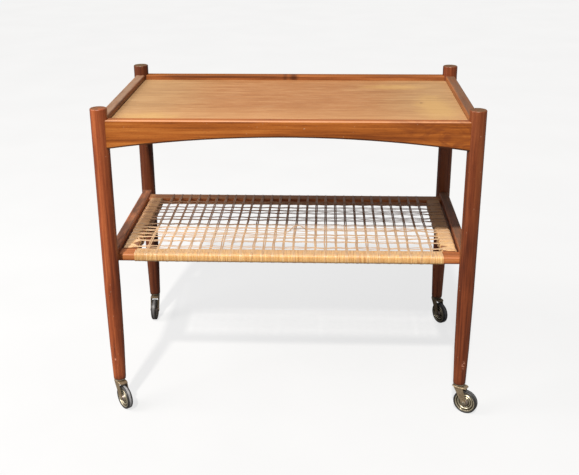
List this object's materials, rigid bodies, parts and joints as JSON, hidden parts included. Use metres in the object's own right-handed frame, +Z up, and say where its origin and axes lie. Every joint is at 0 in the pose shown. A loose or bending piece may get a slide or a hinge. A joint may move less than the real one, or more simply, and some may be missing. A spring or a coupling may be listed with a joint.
{
  "type": "serving trolley",
  "caption": "Wooden serving trolley on swivel casters, with a recessed tray top and a woven cane shelf below it.",
  "frame": {"origin": "the middle of the four legs at floor level, in the plane that the four tyres stand on", "axes": "+X along the tray to the right, -Y is the front, +Z up"},
  "size_m": [0.7536, 0.4702, 0.633],
  "materials": {
    "teak_legs": "oiled teak, turned, dark reddish brown, satin",
    "teak_frame": "oiled teak, warm brown, greyed and worn on top, satin",
    "teak_tray": "pale worn teak veneer with its grain along the tray, matt",
    "teak_shelf": "oiled teak, dusty brown on top, satin",
    "beech": "plain planed beech, unfinished",
    "cane": "glossy golden cane, aged",
    "caster_brass": "dull, tarnished brass plate",
    "caster_nickel": "dull nickel plate with tarnish in the grooves",
    "tyre_rubber": "old black rubber, slightly scuffed",
    "screw_steel": "zinc plated, dull"
  },
  "bodies": {
    "frame": {"front_left_leg": "teak_legs", "front_left_caster_socket": "caster_nickel", "front_right_leg": "teak_legs", "front_right_caster_socket": "caster_nickel", "rear_left_leg": "teak_legs", "rear_left_caster_socket": "caster_nickel", "rear_right_leg": "teak_legs", "rear_right_caster_socket": "caster_nickel", "front_rail": "teak_frame", "rear_rail": "teak_frame", "left_rail": "teak_frame", "right_rail": "teak_frame", "tray_panel": "teak_tray", "front_cleat": "beech", "rear_cleat": "beech", "tray_screws": "screw_steel", "left_stretcher": "teak_shelf", "right_stretcher": "teak_shelf", "shelf_front_rail": "teak_shelf", "shelf_rear_rail": "teak_shelf", "left_slat": "teak_shelf", "right_slat": "teak_shelf", "shelf_dowels": "beech", "front_rail_wrap": "cane", "rear_rail_loops": "cane", "left_slat_wrap": "cane", "right_slat_wrap": "cane", "cane_web": "cane"},
    "front_left_swivel": {"front_left_caster_fork": "caster_brass", "front_left_caster_stem": "caster_nickel", "front_left_axle": "caster_nickel"},
    "front_left_wheel": {"front_left_wheel_disc": "caster_nickel", "front_left_tyre": "tyre_rubber"},
    "front_right_swivel": {"front_right_caster_fork": "caster_brass", "front_right_caster_stem": "caster_nickel", "front_right_axle": "caster_nickel"},
    "front_right_wheel": {"front_right_wheel_disc": "caster_nickel", "front_right_tyre": "tyre_rubber"},
    "rear_left_swivel": {"rear_left_caster_fork": "caster_brass", "rear_left_caster_stem": "caster_nickel", "rear_left_axle": "caster_nickel"},
    "rear_left_wheel": {"rear_left_wheel_disc": "caster_nickel", "rear_left_tyre": "tyre_rubber"},
    "rear_right_swivel": {"rear_right_caster_fork": "caster_brass", "rear_right_caster_stem": "caster_nickel", "rear_right_axle": "caster_nickel"},
    "rear_right_wheel": {"rear_right_wheel_disc": "caster_nickel", "rear_right_tyre": "tyre_rubber"}
  },
  "joints": [
    {"name": "front_left_swivel_turn", "type": "hinge", "parent": "frame", "child": "front_left_swivel", "pos_m": [-0.35, -0.21, 0.06], "axis": [0, 0, 1], "continuous": true},
    {"name": "front_left_wheel_roll", "type": "hinge", "parent": "front_left_swivel", "child": "front_left_wheel", "pos_m": [-0.33972, -0.22226, 0.025], "axis": [0.766, 0.6428, 0], "continuous": true},
    {"name": "front_right_swivel_turn", "type": "hinge", "parent": "frame", "child": "front_right_swivel", "pos_m": [0.35, -0.21, 0.06], "axis": [0, 0, 1], "continuous": true},
    {"name": "front_right_wheel_roll", "type": "hinge", "parent": "front_right_swivel", "child": "front_right_wheel", "pos_m": [0.36386, -0.218, 0.025], "axis": [0.5, 0.866, 0], "continuous": true},
    {"name": "rear_left_swivel_turn", "type": "hinge", "parent": "frame", "child": "rear_left_swivel", "pos_m": [-0.35, 0.21, 0.06], "axis": [0, 0, 1], "continuous": true},
    {"name": "rear_left_wheel_roll", "type": "hinge", "parent": "rear_left_swivel", "child": "rear_left_wheel", "pos_m": [-0.35, 0.194, 0.025], "axis": [1, 0, 0], "continuous": true},
    {"name": "rear_right_swivel_turn", "type": "hinge", "parent": "frame", "child": "rear_right_swivel", "pos_m": [0.35, 0.21, 0.06], "axis": [0, 0, 1], "continuous": true},
    {"name": "rear_right_wheel_roll", "type": "hinge", "parent": "rear_right_swivel", "child": "rear_right_wheel", "pos_m": [0.358, 0.19614, 0.025], "axis": [0.866, 0.5, 0], "continuous": true}
  ]
}
